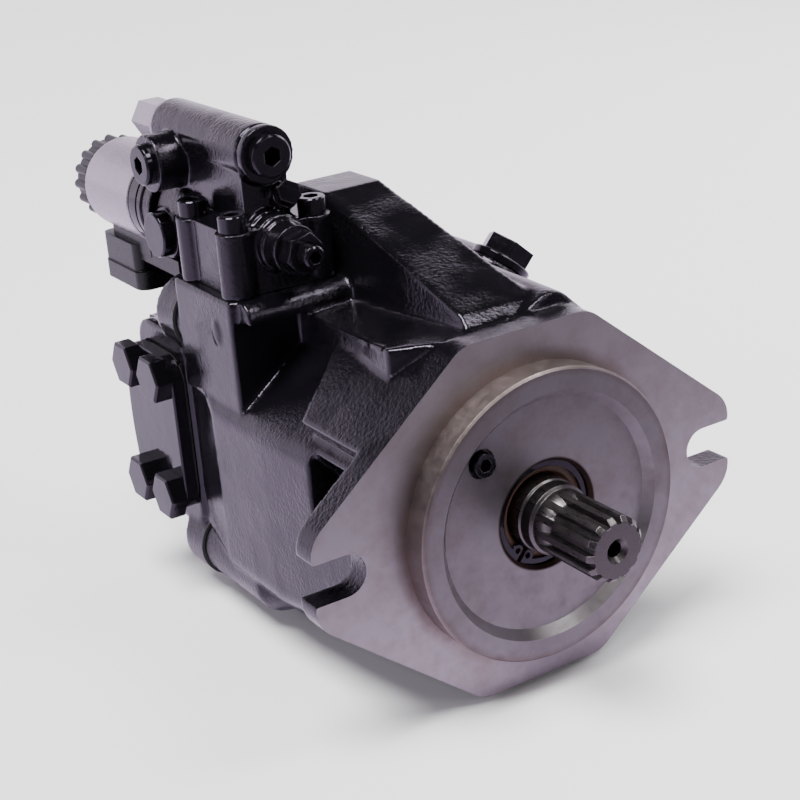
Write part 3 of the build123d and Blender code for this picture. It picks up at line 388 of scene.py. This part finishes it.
def behind_the_front(face):
    """Whether a face of the housing is no part of the pilot, its recess or the seal bore."""
    too_deep = max(v.co.y for v in face.verts) > recess_depth
    at_flange = min(v.co.y for v in face.verts) > -flat_tolerance
    off_the_bore = max(abs(v.co.x) for v in face.verts) > mouth_half_width
    return too_deep or at_flange and off_the_bore


def machined_front():
    """The exact pilot, recess and seal bore in front of the flange face."""
    work = bmesh.new()
    work.from_mesh(nodes["housing"].data)
    spare = [f for f in work.faces if behind_the_front(f)]
    bmesh.ops.delete(work, geom=spare, context="FACES")
    mesh = bpy.data.meshes.new("pilot_front")
    work.to_mesh(mesh)
    work.free()
    piece = bpy.data.objects.new("pilot_front", mesh)
    bpy.context.scene.collection.objects.link(piece)
    mesh.materials.clear()
    mesh.materials.append(flange_metal.material)
    for polygon in mesh.polygons:
        polygon.material_index = 0
    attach(piece, "housing_group")


machined_front()

# ------------------------------------------------------------------ finishes of the CAD nodes
finishes = {
    "cast_black": cast_paint,
    "black_oxide": screw_paint,
    "painted_bolts": screw_paint,
    "shaft_steel": shaft_metal,
    "inner_steel": inner_metal,
    "seal_rubber": seal_rubber,
    "gasket_black": gasket_sheet,
    "bronze": bronze_metal,
    "block_iron": block_metal,
    "zinc_silver": zinc_metal,
    "can_silver": can_metal,
    "black_plastic": black_plastic,
    "spring_steel": spring_metal,
}
for part in frame["record"]["subparts"]:
    for slot in nodes[part["node"]].material_slots:
        slot.link = "OBJECT"
        slot.material = finishes[part["material_slot"]].material


# ------------------------------------------------------------------ camera, floor and light
def aimed(azimuth, elevation, roll):
    """Rotation of a camera that looks along azimuth, down by elevation, then rolls."""
    a, e = math.radians(azimuth), math.radians(elevation)
    forward = Vector((-math.sin(a) * math.cos(e), math.cos(a) * math.cos(e), -math.sin(e)))
    level = forward.cross(Vector((0, 0, 1))).normalized()
    upright = level.cross(forward)
    r = math.radians(roll)
    right = level * math.cos(r) + upright * math.sin(r)
    up = right.cross(forward)
    return Matrix((right, up, -forward)).transposed()


eye = bpy.data.cameras.new("camera")
eye.sensor_width = 36
eye.lens = lens_length
camera = bpy.data.objects.new("camera", eye)
bpy.context.scene.collection.objects.link(camera)
turned = aimed(camera_azimuth, camera_elevation, camera_roll)
camera.matrix_world = Matrix.Translation(camera_place) @ turned.to_4x4()
bpy.context.scene.camera = camera


def make_floor():
    """A floor that is pale to the camera, but not plain in reflections.

    Reflections see it lilac, and nearly black ahead of the pump, as if that side of the room
    were dark.
    """
    mesh = bpy.data.meshes.new("floor")
    signs = [(-1, -1), (1, -1), (1, 1), (-1, 1)]
    corners = [(floor_reach * x, floor_reach * y, cad_low.z) for x, y in signs]
    mesh.from_pydata(corners, [], [(0, 1, 2, 3)])
    floor = bpy.data.objects.new("floor", mesh)
    bpy.context.scene.collection.objects.link(floor)
    pale = Surface("pale_floor", floor_colour, 0.9)
    pale.feed("Roughness", pale.ramp(pale.noise(0.2, 2), [(0.3, 0.85), (0.7, 0.95)]))
    split = pale.node("ShaderNodeSeparateXYZ")
    pale.link(pale.place, split.inputs["Vector"])
    ahead = pale.math("MULTIPLY", split.outputs["Y"], -floor_fade_per_metre, clamp=True)
    glossy = pale.node("ShaderNodeLightPath").outputs["Is Glossy Ray"]
    reflected = pale.mix(ahead, floor_reflected, floor_reflected_ahead)
    pale.feed("Base Color", pale.mix(glossy, floor_colour, reflected))
    mesh.materials.append(pale.material)


def soft_box(name, place, target, size, power, colour=(1, 1, 1)):
    light = bpy.data.lights.new(name, "AREA")
    light.shape = "RECTANGLE"
    light.size, light.size_y = size
    light.energy = power
    light.color = colour
    lamp = bpy.data.objects.new(name, light)
    bpy.context.scene.collection.objects.link(lamp)
    lamp.location = place
    lamp.rotation_euler = (Vector(target) - Vector(place)).to_track_quat("-Z", "Y").to_euler()


def wide_sun(name, heading, spread, strength):
    """An even light that does not fade with distance, like a bank of ceiling lights."""
    light = bpy.data.lights.new(name, "SUN")
    light.angle = math.radians(spread)
    light.energy = strength
    lamp = bpy.data.objects.new(name, light)
    bpy.context.scene.collection.objects.link(lamp)
    lamp.rotation_euler = heading.to_track_quat("-Z", "Y").to_euler()


make_floor()
middle = (cad_low + cad_high) / 2
wide_sun("overhead", Vector((0.3, 0.1, -1.0)), 32, 6.4)
soft_box("left_box", (-1.2, 0.2, 0.45), middle, (0.5, 0.7), 3, (0.97, 0.96, 1.0))
soft_box("front_top_box", (0.5, -0.4, 1.05), middle, (0.4, 0.4), 7)
soft_box("front_box", (0.45, -1.3, 0.75), middle, (0.6, 0.5), 3.5)
soft_box("right_box", (1.1, 0.4, 0.7), middle, (0.6, 0.6), 5)

# the room: a lilac sweep low behind the pump, dark above and ahead, and white to the camera
world = bpy.data.worlds.new("studio")
world.use_nodes = True
bpy.context.scene.world = world
sky = world.node_tree


def sky_ramp(source, stops):
    made = sky.nodes.new("ShaderNodeValToRGB")
    band = made.color_ramp
    while len(band.elements) < len(stops):
        band.elements.new(0.5)
    for element, (position, value) in zip(band.elements, stops):
        element.position = position
        element.color = (value, value, value, 1)
    sky.links.new(source, made.inputs["Fac"])
    return made.outputs["Color"]


def sky_mix(share, a, b, blend="MIX"):
    made = sky.nodes.new("ShaderNodeMix")
    made.data_type = "RGBA"
    made.blend_type = blend
    wanted = {"Factor": share, "A": a, "B": b}
    for name, value in wanted.items():
        socket = made.inputs[name]
        if isinstance(value, (float, tuple)):
            socket.default_value = value
        else:
            sky.links.new(value, socket)
    return made.outputs["Result"]


direction = sky.nodes.new("ShaderNodeTexCoord").outputs["Generated"]
parts = sky.nodes.new("ShaderNodeSeparateXYZ")
sky.links.new(direction, parts.inputs["Vector"])
height = sky_ramp(parts.outputs["Z"], [(0.0, 1.0), (0.44, 0.9), (0.56, 0.03), (1.0, 0.02)])
depth_map = sky.nodes.new("ShaderNodeMapRange")
depth_map.inputs["From Min"].default_value = -1.0
sky.links.new(parts.outputs["Y"], depth_map.inputs["Value"])
behind = sky_ramp(depth_map.outputs["Result"], [(0.2, 0.06), (0.7, 1.0)])
graded = sky_mix(1.0, height, behind, "MULTIPLY")
surround = sky_mix(1.0, graded, room_tint, "MULTIPLY")
seen = sky.nodes.new("ShaderNodeLightPath")
shown = sky_mix(seen.outputs["Is Camera Ray"], surround, (1.0, 1.0, 1.0, 1.0))
sky.links.new(shown, sky.nodes["Background"].inputs["Color"])
sky.nodes["Background"].inputs["Strength"].default_value = room_strength
